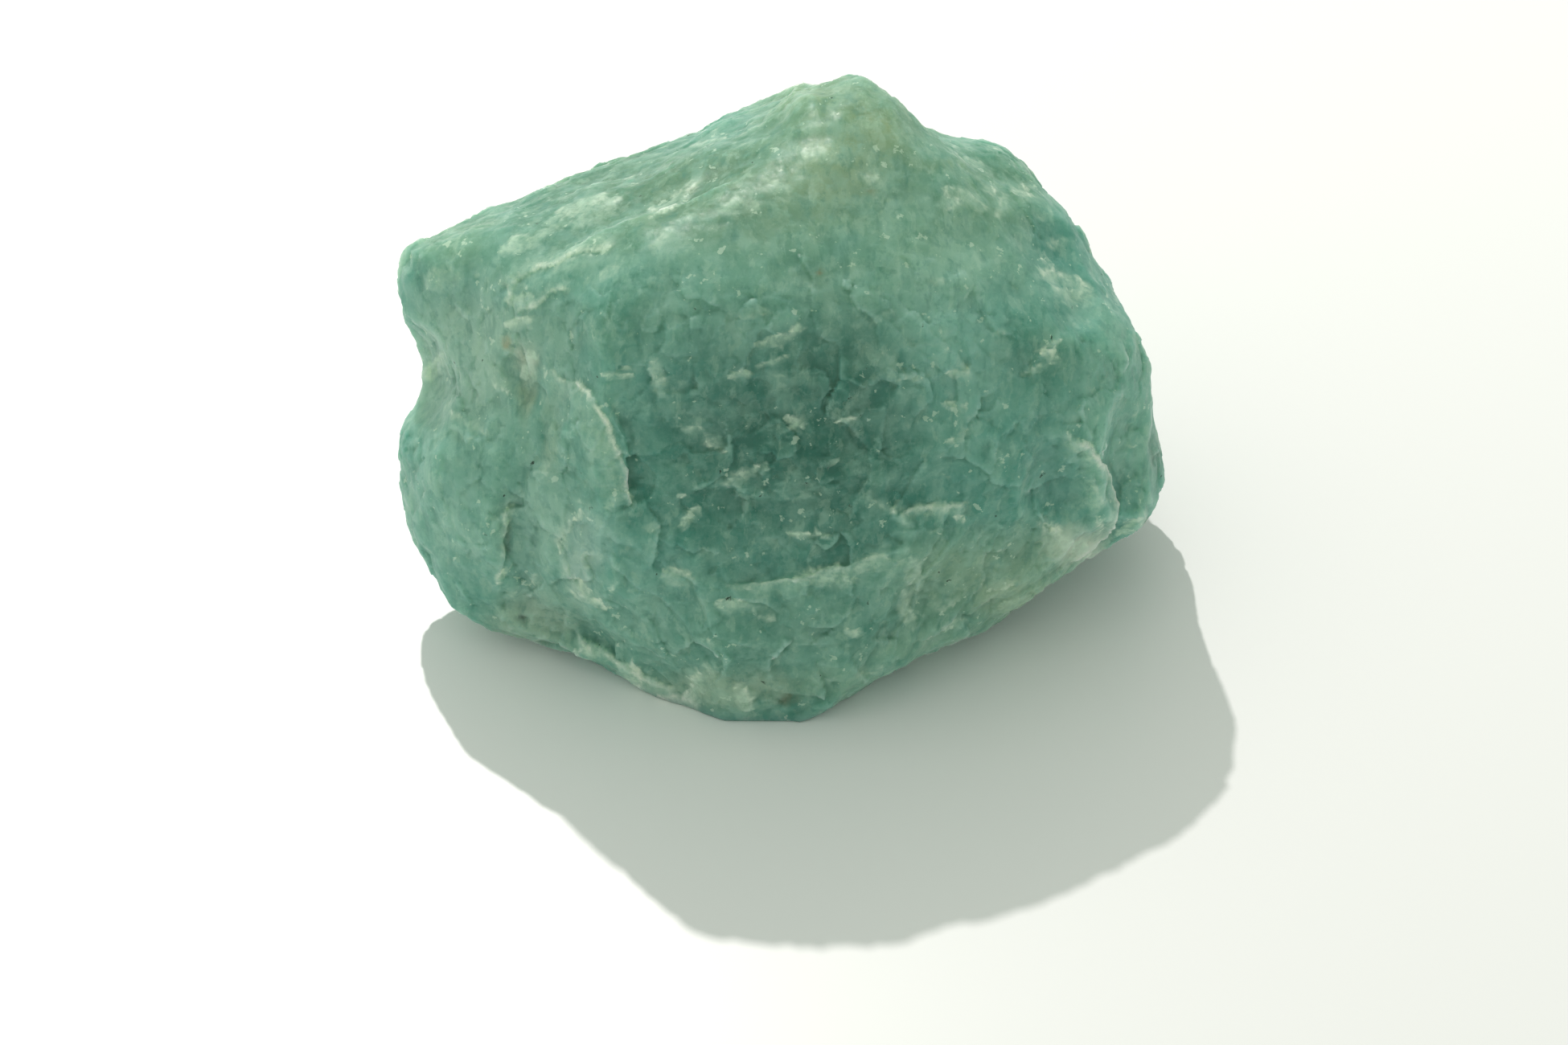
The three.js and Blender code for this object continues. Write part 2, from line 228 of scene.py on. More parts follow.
# Ledges on the seen side, as points right and up from the middle of the outline. The surface stands proud on
# the left of the way the points run, by "rise" and out to "reach", and sinks on the right, out to "sink".
# "lip" is how bright the torn edge is, and "fill" how milky the sheet behind it is.
ledges = [
    {"name": "arc of the hollow", "rise": 0.08, "reach": 4.5, "sink": 4.0, "lip": 0.8, "fill": 0.34,
     "points": [(-9.0, -6.8), (-9.3, -5.6), (-9.6, -4.4), (-10.3, -2.0), (-11.3, -0.2), (-12.6, 0.8),
                (-14.4, 1.6)]},
    {"name": "lower ledge", "rise": 0.05, "reach": 2.4, "sink": 4.0, "lip": 0.3, "fill": 0.3,
     "points": [(6.4, -9.3), (4.6, -9.9), (3.2, -10.2), (0.9, -10.8), (-1.3, -11.1), (-4.0, -11.3)]},
    {"name": "right end of the ledge", "rise": 0.09, "reach": 2.0, "sink": 2.5, "lip": 0.6, "fill": 0.4,
     "points": [(11.2, -6.3), (9.4, -6.4), (7.6, -6.8), (6.6, -7.3)]},
    {"name": "slit beside the left lobe", "rise": 0.11, "reach": 2.6, "sink": 0.7, "lip": 0.3, "fill": 0.15,
     "points": [(-17.1, -11.2), (-16.9, -9.4), (-16.6, -8.0), (-16.4, -6.0)]},
    {"name": "torn ridge", "rise": 0.05, "reach": 1.4, "sink": 1.6, "lip": 0.25, "fill": 0.3,
     "points": [(-11.6, -12.4), (-12.6, -10.6), (-13.4, -8.8), (-12.6, -6.9)]},
    {"name": "rim of the scooped chip", "rise": 0.16, "reach": 2.0, "sink": 4.0, "lip": 0.7, "fill": 0.5,
     "points": [(16.8, -10.2), (18.4, -9.4), (19.6, -8.0), (20.1, -6.4), (19.6, -4.6), (18.2, -2.9),
                (16.6, -1.9)]},
    {"name": "upper flake step", "rise": 0.06, "reach": 2.0, "sink": 2.0, "lip": 0.5, "fill": 0.35,
     "points": [(-16.6, 6.6), (-14.4, 7.8), (-12.2, 8.5), (-9.9, 9.0)]},
    {"name": "second flake step", "rise": 0.06, "reach": 1.6, "sink": 1.6, "lip": 0.5, "fill": 0.35,
     "points": [(-16.2, 4.9), (-14.5, 5.8), (-12.8, 6.5)]},
    {"name": "curled flake step", "rise": 0.06, "reach": 1.6, "sink": 1.6, "lip": 0.5, "fill": 0.3,
     "points": [(-8.4, 11.0), (-6.8, 11.2), (-5.6, 11.9), (-5.0, 13.0)]},
    {"name": "foot edge", "rise": 0.12, "reach": 2.0, "sink": 2.0, "lip": 0.6, "fill": 0.4,
     "points": [(-6.2, -17.6), (-8.4, -16.8), (-10.6, -15.2), (-12.6, -14.0)]},
]

acrossPerthite = Vector((-0.24, 0.94, 0.25))  # face coordinates; the flakes lie along the planes square to it


# Thin flakes that catch the eye on the seen side: right, up, length, width, turn in degrees, how pale the
# flake is and how bright its edge is.
seenFlakes = [
    (-12.0, 11.4, 3.8, 2.0, 14, 0.85, 0.3), (-6.5, 11.7, 2.6, 1.2, 50, 0.6, 0.3),
    (-4.7, 15.4, 2.2, 0.9, 10, 0.61, 0.33), (-1.8, 15.9, 1.4, 0.7, 30, 0.54, 0.33),
    (-15.7, 9.3, 2.4, 1.2, 24, 0.95, 0.25), (-14.4, 9.6, 1.6, 0.7, 40, 0.68, 0.3),
    (-14.6, 7.0, 4.0, 1.5, 24, 0.55, 0.2), (-15.4, 5.7, 2.0, 1.1, 15, 0.8, 0.3),
    (-12.6, 8.2, 2.4, 0.9, 22, 0.45, 0.2), (-15.6, 4.3, 2.0, 0.9, 15, 0.95, 0.3),
    (-10.8, 7.7, 1.3, 0.8, 60, 0.75, 0.4), (-7.4, 9.6, 1.4, 0.5, 20, 0.47, 0.33),
    (-2.7, 10.9, 2.3, 1.0, 15, 0.68, 0.22), (-0.6, 12.5, 1.7, 1.0, 0, 0.61, 0.33),
    (2.1, 14.1, 1.7, 1.2, 10, 0.61, 0.33), (5.2, 12.5, 0.9, 1.0, 0, 0.74, 0.33),
    (10.4, 11.5, 2.3, 1.3, -10, 0.68, 0.44), (11.5, 13.8, 2.2, 1.1, -20, 0.54, 0.22),
    (14.6, 12.2, 1.4, 1.0, 0, 0.68, 0.33), (12.8, 11.2, 1.6, 0.6, 75, 0.61, 0.44),
    (16.2, 9.0, 1.1, 0.7, 40, 0.74, 0.55), (16.9, 7.2, 2.6, 1.1, -10, 0.94, 0.88),
    (17.0, 5.7, 1.9, 1.4, 10, 0.81, 0.66), (16.0, 8.2, 1.0, 0.6, -40, 0.7, 0.6),
    (15.9, 2.4, 1.1, 0.9, 0, 1.0, 0.99), (16.4, 3.2, 1.2, 0.3, 30, 0.68, 0.66),
    (15.0, 1.5, 1.6, 0.4, 30, 0.54, 0.44), (10.5, 1.3, 1.1, 0.6, 20, 0.68, 0.66),
    (10.2, -0.7, 1.5, 0.5, 0, 0.54, 0.44), (10.8, -2.7, 1.9, 0.5, 45, 0.54, 0.55),
    (-0.5, 3.5, 2.3, 0.8, 24, 0.7, 0.5), (0.6, 4.0, 0.6, 0.5, 60, 1.0, 0.99),
    (-10.0, 1.2, 1.7, 0.4, 5, 0.94, 0.77), (-2.7, 1.3, 1.3, 0.5, 10, 0.94, 0.66),
    (-0.8, 2.0, 1.6, 0.3, 20, 0.61, 0.44), (-7.5, 0.9, 0.9, 2.0, 5, 0.61, 0.33),
    (-9.4, 1.7, 0.8, 0.3, 10, 0.68, 0.33), (0.7, -1.5, 1.3, 0.8, 0, 0.88, 0.66),
    (3.6, -1.3, 1.2, 0.4, 25, 0.68, 0.66), (-5.6, -1.7, 1.1, 0.4, 10, 0.68, 0.33),
    (-2.3, -5.0, 2.5, 0.7, 32, 0.6, 0.6), (-5.6, -7.0, 1.7, 0.9, 62, 1.0, 0.44),
    (1.0, -8.4, 1.6, 0.4, 0, 1.0, 0.99), (2.4, -8.3, 0.9, 0.3, 0, 0.81, 0.44),
    (9.2, -6.8, 2.8, 1.0, 10, 0.6, 0.4), (6.5, -6.5, 0.8, 0.4, 80, 0.68, 0.77),
    (-0.6, -11.3, 4.6, 0.6, 8, 0.4, 0.3), (2.4, -10.8, 3.2, 1.5, 14, 0.75, 0.3),
    (5.7, -10.1, 2.4, 1.2, 18, 0.55, 0.3), (7.9, -11.0, 2.0, 1.2, -60, 0.5, 0.25),
    (7.0, -12.6, 1.8, 0.9, -65, 0.6, 0.25), (-3.2, -13.0, 1.9, 0.7, 12, 0.74, 0.77),
    (-6.5, -11.3, 1.7, 1.2, 10, 0.54, 0.55), (4.2, -14.4, 1.1, 0.5, 0, 0.81, 0.55),
    (7.4, -12.3, 1.8, 0.5, 82, 0.68, 0.44), (10.2, -13.5, 1.6, 0.6, 26, 0.54, 0.33),
    (-4.9, -17.0, 2.6, 1.2, 70, 0.68, 0.88), (-2.4, -17.6, 1.8, 1.1, -45, 1.0, 0.66),
    (-6.5, -18.4, 2.5, 0.8, 0, 0.68, 0.44), (-9.1, -17.0, 2.0, 1.0, -65, 1.0, 0.88),
    (-12.2, -15.5, 1.3, 0.9, 20, 1.0, 0.99), (-12.2, -11.2, 1.3, 0.8, -55, 0.9, 0.7),
    (-13.4, -8.9, 1.1, 0.6, 80, 0.9, 0.7), (-11.6, -11.8, 1.4, 0.9, 20, 0.68, 0.44),
    (-15.8, 1.7, 1.7, 1.1, 70, 1.0, 0.4), (-20.8, 2.0, 1.8, 1.1, 60, 0.8, 0.22),
    (-21.0, 6.8, 2.2, 1.6, 30, 0.4, 0.1), (17.8, -9.4, 1.7, 1.2, -45, 1.0, 0.66),
    (16.4, -8.8, 2.4, 1.5, -30, 0.54, 0.33), (10.8, -7.7, 0.8, 0.6, 0, 0.94, 0.55),
    (18.6, -6.2, 2.2, 0.8, -75, 0.54, 0.55), (21.2, -8.2, 1.8, 1.3, 40, 0.61, 0.33),
    (16.7, -8.4, 2.0, 0.7, -30, 0.9, 0.9), (18.8, -7.8, 1.5, 0.6, -60, 0.9, 0.9),
    (-16.5, -6.6, 1.2, 0.5, 85, 0.9, 0.8), (-16.9, -10.4, 1.3, 0.5, 60, 0.9, 0.9),
    (-11.0, -12.2, 1.0, 0.7, -30, 1.0, 0.8), (-11.4, -9.6, 1.5, 1.1, 70, 0.45, 0.2),
    (-10.2, -11.4, 0.6, 0.4, 60, 1.0, 0.8), (-9.2, -16.8, 1.4, 0.7, -60, 1.0, 0.9),
    (-6.4, -18.3, 1.9, 0.8, -10, 0.9, 0.9), (-12.6, -7.4, 0.8, 0.5, 70, 0.9, 0.7),
    (-14.8, -10.8, 0.7, 0.4, 80, 0.8, 0.6), (-10.6, -6.9, 0.7, 0.5, 60, 0.7, 0.6),
    (14.0, -12.2, 2.0, 0.8, 27, 0.47, 0.22), (-18.8, -1.6, 2.6, 0.5, -25, 0.47, 0.66),
]

# Broad and small changes of colour on the seen side: right and up, half width and half height, the colour,
# and how much of it shows in the middle. Later ones lie over earlier ones.
tints = [
    # Partly painted: the crest, the top of the peak, the warmer top, the yellowish upper right and the warmer
    # left corner have the stone's own yellower green. They are also darkened on the lit top as painted shade
    # against the lamp, and warmed as painted warm lamplight.
    ("yellowish crest, partly painted warm light and shade", (4.0, 15.5), (9.0, 4.5), "#7c9668", 0.5),
    ("warm top of the peak, partly painted warm light and shade", (2.6, 17.8), (6.5, 2.4), "#80936a", 0.5),
    ("top, warmer green, partly painted warm light and shade", (-7.6, 12.6), (15.0, 4.8), "#557b5b", 0.72),
    ("yellower green above the hollow", (2.0, 8.8), (14.0, 5.6), "#88aa89", 0.36),
    ("lighter right of the crest", (3.6, 13.4), (5.4, 3.8), "#b6c8a4", 0.45),
    ("yellowish upper right, partly painted warm light and shade", (12.8, 12.8), (4.6, 3.4), "#5f8762", 0.6),
    ("warmer left corner, partly painted warm light and shade", (-20.4, 9.8), (4.0, 2.6), "#6d9271", 0.6),
    ("lighter under the crest", (-3.0, 9.4), (6.0, 2.6), "#a6c8b0", 0.15),
    # Painted light: the band just below the lit top is lightened, as if the lamp's light spread softly past
    # the brow.
    ("paler band under the brow, painted light", (-3.0, 4.8), (14.0, 3.6), "#9bc6b3", 0.45),
    # Partly painted light: the left flank and its edge are paler. Part of that is milky stone, and part is
    # light painted on as though more of it fell from the left.
    ("pale left flank, partly painted light from the left", (-15.5, -3.0), (8.0, 11.0), "#83b19d", 0.5),
    ("paler edge of the left flank, partly painted light from the left", (-19.2, 2.6), (5.2, 5.6), "#afd0bd", 0.7),
    ("paler left of the arc's top", (-14.6, 3.6), (3.4, 3.0), "#9dc0ac", 0.4),
    ("paler low left corner", (-15.0, -13.4), (3.8, 2.6), "#b5c5b0", 0.6),
    ("paler right of the middle", (9.6, 8.4), (6.4, 5.0), "#a1c0a2", 0.4),
    ("bluer right of the hollow", (10.2, 2.6), (6.6, 7.2), "#9acfbf", 0.58),
    ("milky band over the hollow", (-3.6, 3.2), (4.0, 2.4), "#a6d3c2", 0.36),
    ("greener upper left", (-15.0, 8.6), (4.0, 2.8), "#57856a", 0.5),
    ("greener left of the crest", (-5.0, 12.4), (5.0, 2.6), "#557c59", 0.5),
    ("paler right edge", (20.0, -0.4), (3.6, 6.0), "#90c8b1", 0.5),
    ("whitish rim of the scooped chip", (17.6, -9.0), (2.5, 1.5), "#dfe3d3", 0.75),
    ("pale torn strip", (-12.2, -9.6), (1.4, 3.6), "#c0dacf", 0.55),
    # Painted shade: a dark mark where the mouth of the slit lies in shade.
    ("painted shade in the mouth of the slit", (-16.6, -8.6), (0.32, 1.3), "#2c5443", 0.85),
    ("pale plates of the foot", (-3.6, -17.5), (5.4, 1.5), "#c3cfb5", 0.6),
    ("whitish left flake", (-15.6, 2.2), (0.9, 1.2), "#c8ceb7", 0.6),
    ("pale thin edge, right", (14.6, -12.0), (5.0, 1.5), "#aecbae", 0.5),
    ("pale thin edge, middle", (8.6, -15.0), (4.6, 1.5), "#a8c8ae", 0.45),
    ("pale thin edge, left", (3.4, -17.2), (4.0, 1.4), "#a4c2a4", 0.4),
    # Partly painted light: the foot is paler, partly from its own colour and partly from light painted on
    # where it faces the bright floor.
    ("pale foot, partly painted light from the floor", (-1.0, -15.0), (17.0, 4.8), "#84ab97", 0.42),
    ("deeper under the lower ledge", (2.4, -13.6), (6.0, 1.7), "#3f8471", 0.35),
    ("paler bottom of the valley", (-14.8, -7.8), (2.0, 5.0), "#a6ccbb", 0.55),
    ("milky left lobe", (-20.3, -5.4), (3.6, 5.2), "#9ccab9", 0.46),
    ("beige thread left of the arc", (-15.6, 0.2), (0.7, 2.2), "#c6cba8", 0.4),
    ("second beige thread", (-14.0, -3.0), (0.7, 2.8), "#bfc9a8", 0.3),
    ("bluish plate right of the torn strip", (-10.9, -8.6), (1.1, 2.0), "#a9d0c8", 0.4),
    ("pale lower right", (12.6, -10.8), (9.0, 3.8), "#a3b897", 0.52),
    # Partly painted shade: the middle of the hollow is a deeper teal of its own, darkened further as if less
    # light came back out of it.
    ("deeper middle of the hollow, partly painted shade", (0.6, -2.4), (10.8, 8.4), "#256152", 0.76),
    ("deep teal patch, upper left", (-9.4, 4.0), (3.2, 2.8), "#3b826c", 0.36),
    ("deep teal patch, right", (15.6, 2.6), (3.4, 3.6), "#3d8771", 0.5),
    ("deep teal patch, low left", (-7.6, -6.6), (2.6, 2.8), "#3d8675", 0.32),
    ("olive stain near the crest", (5.0, 16.0), (2.4, 1.4), "#86904f", 0.4),
    ("second olive stain", (9.2, 13.8), (2.2, 0.6), "#85935c", 0.3),
    ("brown stain at the foot", (0.2, -18.2), (0.9, 0.5), "#63542f", 0.6),
    ("rusty spot in the left flake", (-16.7, 3.2), (0.4, 0.5), "#a9813a", 0.6),
    # Painted shade: a dark spot where a small notch in the lower left edge lies in shade.
    ("painted shade of the notch in the lower left edge", (-15.7, -13.3), (0.4, 0.35), "#314036", 0.9),
    ("rusty spot under the crest", (5.2, 12.2), (0.35, 0.3), "#9c7b40", 0.5),
    ("rusty speck above the hollow", (2.1, 7.3), (0.28, 0.2), "#816c2d", 0.7),
    ("brown speck on the right corner", (21.7, -7.4), (0.45, 0.4), "#6d5a50", 0.6),
    ("dark right-hand edge", (22.2, -3.2), (0.8, 1.8), "#46594b", 0.35),
]


def copyOfSolid(nodeName):
    worked = bmesh.new()
    worked.from_mesh(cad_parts[nodeName].data)
    bmesh.ops.scale(worked, vec=(1 / mm, 1 / mm, 1 / mm), verts=worked.verts)  # worked in millimetres
    bmesh.ops.remove_doubles(worked, verts=worked.verts, dist=stone["weld"])
    mesh = bpy.data.meshes.new(nodeName + "_worked")
    worked.to_mesh(mesh)
    worked.free()
    return mesh


def withModifier(mesh, kind, settings):
    holder = bpy.data.objects.new("worked", mesh)
    bpy.context.scene.collection.objects.link(holder)
    modifier = holder.modifiers.new(kind.lower(), kind)
    for name, value in settings.items():
        setattr(modifier, name, value)
    bpy.context.view_layer.update()
    depsgraph = bpy.context.evaluated_depsgraph_get()
    changed = bpy.data.meshes.new_from_object(holder.evaluated_get(depsgraph))
    bpy.data.objects.remove(holder)
    return changed


def smooth(worked, verts, passes):
    for _ in range(passes):
        bmesh.ops.smooth_vert(
            worked, verts=verts, factor=0.5, use_axis_x=True, use_axis_y=True, use_axis_z=True)


def faceCoords(point):
    return Vector((point.dot(acrossFace), point.dot(upFace), point.dot(outOfFace)))


def middleOf(points):
    return Vector([(max(p[i] for p in points) + min(p[i] for p in points)) / 2 for i in range(3)])


def asSeen(place, middle):  # right and up from the middle of the outline, in perspective
    nearer = view["distance"] / (view["distance"] - (place.z - middle.z))
    return (place.x - middle.x) * nearer, (place.y - middle.y) * nearer


def within(right, up, place):  # 0 in the middle of a named place and 1 at the ends of its half sizes
    return (right - place["at"][0]) / place["size"][0], (up - place["at"][1]) / place["size"][1]


def fractal(point, spacing, salt=0.0):
    return noise.noise(point / spacing + Vector((salt, salt * 0.7, -salt)))


def wandering(place, wander):
    return sum(height * fractal(place, spacing, salt) for spacing, height, salt in wander)


def litTop(facing):  # 1 on the bright top, which faces up as well as to the camera
    upRange, cameraRange = stone["litTopRange"]
    return smoothStep(*upRange, facing.y) * smoothStep(*cameraRange, facing.z)


# The facet that a point lies on: the way there from the facet's middle, and three chances of its own.
def facetAt(place, size, salt):
    facets = stone["facets"]
    spread = Vector([place[k] / size[k] for k in range(3)])
    spread += facets["waviness"] * noise.noise_vector(facets["wavesPerFacet"] * spread + Vector((salt, 0, 0)))
    seed = noise.voronoi(spread)[1][0]
    off = spread - seed
    chances = noise.cell_vector(seed + Vector((17 + salt, 5, 31)))
    return Vector([off[k] * size[k] for k in range(3)]), chances


def terraceRise(place, facing, cleavage):
    terraces = stone["terraces"]
    square = abs(facing.dot(cleavage["across"]))
    if square < terraces["squareRange"][0]:
        return 0.0
    height = place.dot(cleavage["across"]) / cleavage["step"] + wandering(place, terraces["wander"])
    level = math.floor(height)
    stepped = level + smoothStep(*terraces["riserRange"], height - level)
    patch = fractal(place, terraces["patchSpacing"], terraces["patchSalt"] + cleavage["step"])
    cut = (stepped - height) * cleavage["step"] * smoothStep(*terraces["squareRange"], square)
    return cut * smoothStep(*terraces["patchRange"], patch)


# How far the break stands out at a point, and how milky its facets are.
def breakAt(place, facing):
    height = sum(size * fractal(place, spacing, spacing) for spacing, size in stone["lumps"])
    height *= 1 - (1 - stone["faceWear"]) * smoothStep(*stone["faceRange"], facing.z)
    for cleavage in cleavages:
        height += stone["terraces"]["share"] * terraceRise(place, facing, cleavage)
    calm = litTop(facing)
    leftFlank = smoothStep(*stone["leftFlankRange"], facing.x)
    height *= 1 - stone["calmWear"] * max(calm, leftFlank)
    striae, ribs, facets = stone["striae"], stone["ribs"], stone["facets"]
    height += striae["height"] * noise.noise(Vector((
        place.x / striae["across"], place.y / striae["along"], place.z / striae["across"])))
    lean = math.radians(ribs["lean"])
    height += ribs["height"] * noise.noise(Vector((
        (place.x * math.cos(lean) + place.y * math.sin(lean)) / ribs["along"],
        (place.y * math.cos(lean) - place.x * math.sin(lean)) / ribs["across"],
        place.z / ribs["across"])))
    milky = 0.0
    for k, layer in enumerate(facets["layers"]):
        off, chances = facetAt(place, layer["size"], k)
        leaning = 2 * Vector(chances) - Vector((1, 1, 1))
        raised = layer["tilt"] * off.dot(leaning) + layer["step"] * leaning.x
        height += (1 - facets["calmWear"] * calm) * raised
        milky += 0.5 * leaning.y
    return height, milky


# Where a seen point lies beside a ledge: distance to the line, its side, and how far inside the ends it is.
def besideLedge(right, up, points):
    best = (1e9, 0.0, 0.0)
    for i in range(len(points) - 1):
        ax, ay = points[i]
        bx, by = points[i + 1]
        dx, dy = bx - ax, by - ay
        along = ((right - ax) * dx + (up - ay) * dy) / (dx * dx + dy * dy)
        share = min(max(along, 0.0), 1.0)
        offX, offY = right - ax - share * dx, up - ay - share * dy
        away = math.hypot(offX, offY)
        if away < best[0]:
            side = math.copysign(1.0, dx * (up - ay) - dy * (right - ax))
            position = (i + share) / (len(points) - 1)
            best = (away, side, min(position, 1 - position))
    return best


# Levels the worn places to a smooth sheet and evens out the calm ones; gives the middle of the stone.
def wearPlaces(worked):
    points = [faceCoords(v.co) for v in worked.verts]
    middle = middleOf(points)
    for place in wornPlaces:
        near = []
        for vert, point in zip(worked.verts, points):
            x, y = within(*asSeen(point, middle), place)
            if point.z > middle.z and x * x + y * y < stone["sheetReachSquared"]:
                near.append((vert, x, y, point.z))
        terms = numpy.array([(1, x, y, x * x, x * y, y * y, x ** 3, y ** 3) for vert, x, y, z in near])
        sheet = terms @ numpy.linalg.lstsq(terms, numpy.array([n[3] for n in near]), rcond=None)[0]
        for (vert, x, y, z), level in zip(near, sheet):
            vert.co += outOfFace * (float(level) - z) * smoothStep(*stone["sheetRange"], math.hypot(x, y))
        inner = [vert for vert, x, y, z in near if x * x + y * y < stone["unfoldReachSquared"]]
        smooth(worked, inner, stone["unfolding"])
    for place in calmPlaces:
        calm = []
        for vert, point in zip(worked.verts, points):
            x, y = within(point.x - middle.x, point.y - middle.y, place)
            inside = point.z > middle.z and x * x + y * y < 1
            if inside and faceCoords(vert.normal).z > stone["calmFacing"]:
                calm.append(vert)
        smooth(worked, calm, place["passes"])
    return middle


def cutLedge(surface, i, ledge, right, up):
    place, ledgeCut = surface["points"][i], stone["ledgeCut"]
    away, side, insideEnds = besideLedge(right, up, ledge["points"])
    if away > ledgeCut["margin"]:
        return
    beside = side * away + wandering(place, ledgeCut["wander"])
    ends = smoothStep(0.0, ledgeCut["endShare"], insideEnds)
    if beside > 0:
        surface["rise"][i] += ledge["rise"] * ends * smoothStep(ledge["reach"], 0, beside)
    else:
        surface["rise"][i] -= ledge["rise"] * ends * smoothStep(ledge["sink"], 0, -beside)
    whole = smoothStep(*ledgeCut["lipRange"], fractal(place, *ledgeCut["lipGaps"]))
    lip = math.exp(-((beside - ledgeCut["lipAt"]) / ledgeCut["lipWidth"]) ** 2) * ends * ledge["lip"] * whole
    surface["rim"][i] = max(surface["rim"][i], lip)
    if beside > ledgeCut["fillFrom"]:
        reach = beside / ledge["reach"] + wandering(place, ledgeCut["fillWander"])
        cover = smoothStep(*ledgeCut["fillRange"], reach)
        surface["flake"][i] = max(surface["flake"][i], cover * ends * ledge["fill"])


# Lays a share of one colour over what a point has, which is three channels and the share they show with.
def tinted(old, colour, share):
    left = old[3] * (1 - share)
    both = share + left
    if both == 0:
        return old
    return tuple((colour[c] * share + old[c] * left) / both for c in range(3)) + (both,)


def markSeenSide(surface, middle):
    print("stone: ledges, dents and colour changes on the seen side")
    ledgeCut, dentShape, tintShape = stone["ledgeCut"], stone["dentShape"], stone["tintShape"]
    margin = ledgeCut["margin"]
    boxes = []
    for ledge in ledges:
        across, high = zip(*ledge["points"])
        boxes.append((min(across) - margin, max(across) + margin, min(high) - margin, max(high) + margin))
    spots = [
        ({"at": at, "size": size}, linearColour(hexCode), share) for name, at, size, hexCode, share in tints]
    farSide = stone["farSide"]
    farColour = linearColour(farSide["colour"])[:3]
    for i, place in enumerate(surface["points"]):
        facing = surface["facings"][i].z
        tone = (*farColour, farSide["share"] * smoothStep(*farSide["range"], facing))
        if facing >= stone["tintedFrom"]:
            right, up = asSeen(place, middle)
            turned = smoothStep(stone["tintedFrom"], 0.0, facing)
            for spot, colour, most in spots:
                x, y = within(right, up, spot)
                if max(abs(x), abs(y)) < tintShape["margin"]:
                    wave = fractal(place, tintShape["waveSpacing"] * sum(spot["size"]), tintShape["salt"])
                    away = math.hypot(x, y) + tintShape["waviness"] * wave
                    tone = tinted(tone, colour, most * smoothStep(*tintShape["edgeRange"], away) * turned)
        surface["tone"][i] = tone
        if facing < ledgeCut["seenFrom"]:
            continue
        for ledge, (left, rightEnd, bottom, top) in zip(ledges, boxes):
            if left < right < rightEnd and bottom < up < top:
                cutLedge(surface, i, ledge, right, up)
        for dent in dents:
            x, y = within(right, up, dent)
            if max(abs(x), abs(y)) < dentShape["margin"]:
                away = math.hypot(x, y) + wandering(place, dentShape["wander"])
                surface["rise"][i] -= dent["depth"] * smoothStep(1.0, 0.0, away)


def chipShells(surface, tree, dice):
    print("stone: shell-shaped chips")
    points, facings, scallops = surface["points"], surface["facings"], stone["scallops"]
    for _ in range(scallops["count"]):
        centre = points[dice.randrange(len(points))]
        radius = dice.uniform(*scallops["radius"])
        depth = dice.uniform(*scallops["depth"]) * radius / scallops["radius"][1] + scallops["leastDepth"]
        squeeze = Vector((
            dice.uniform(*scallops["squeeze"]), dice.uniform(*scallops["squeeze"]),
            dice.uniform(*scallops["squeezeOut"])))
        for place, i, away in tree.find_range(centre, radius * scallops["search"]):
            off = place - centre
            reach = Vector((off.x * squeeze.x, off.y * squeeze.y, off.z * squeeze.z)).length / radius
            reach += wandering(place, scallops["wander"])
            if reach < 1:
                bowl = depth * (1 - reach * reach) * smoothStep(0.0, scallops["brink"], 1 - reach)
                surface["rise"][i] -= (1 - scallops["calmWear"] * litTop(facings[i])) * bowl


# The seen point nearest to the line of sight through a place of the picture.
def seenPointAt(surface, tree, middle, right, up):
    best, bestAway = None, 1e9
    for depthGuess in range(2, 18, 2):
        nearer = view["distance"] / (view["distance"] - depthGuess)
        guess = middle + Vector((right / nearer, up / nearer, depthGuess))
        place, i, away = tree.find(guess)
        if away < bestAway and surface["facings"][i].z > 0:
            best, bestAway = i, away
    return best


# The flakes to lay: point, length, width, the way it lies, how pale it is and how bright its edge is.
def chooseFlakes(surface, tree, middle, dice):
    chosen, flakes = [], stone["flakes"]
    for right, up, length, width, turn, pale, edge in seenFlakes:
        best = seenPointAt(surface, tree, middle, right, up)
        if best is None:
            continue
        # length, width and turn are as seen, so on ground that leans away they are longer
        facing = surface["facings"][best]
        along = Vector((math.cos(math.radians(turn)), math.sin(math.radians(turn)), 0))
        along.z = -(facing.x * along.x + facing.y * along.y) / max(facing.z, flakes["leastFacing"])
        across = facing.cross(along).normalized()
        length *= min(along.length, flakes["mostLengthening"])
        width /= max(math.hypot(across.x, across.y), flakes["leastNarrowing"])
        pale *= 1 - flakes["litTopFade"] * smoothStep(*stone["litTopRange"][0], facing.y)
        chosen.append((best, length, width, along, pale, edge))
    shortest, longest = flakes["length"]
    faintest, palest = flakes["pale"]
    for _ in range(flakes["count"]):
        point = dice.randrange(len(surface["points"]))
        length = shortest + (longest - shortest) * dice.random() ** 2
        lying = surface["facings"][point].cross(acrossPerthite)
        lying += flakes["unevenness"] * Vector((dice.gauss(0, 1), dice.gauss(0, 1), dice.gauss(0, 1)))
        pale = faintest + (palest - faintest) * dice.random() ** 3
        width = length * dice.uniform(*flakes["widthShare"])
        chosen.append((point, length, width, lying, pale, pale * dice.uniform(*flakes["edgeShare"])))
    return chosen


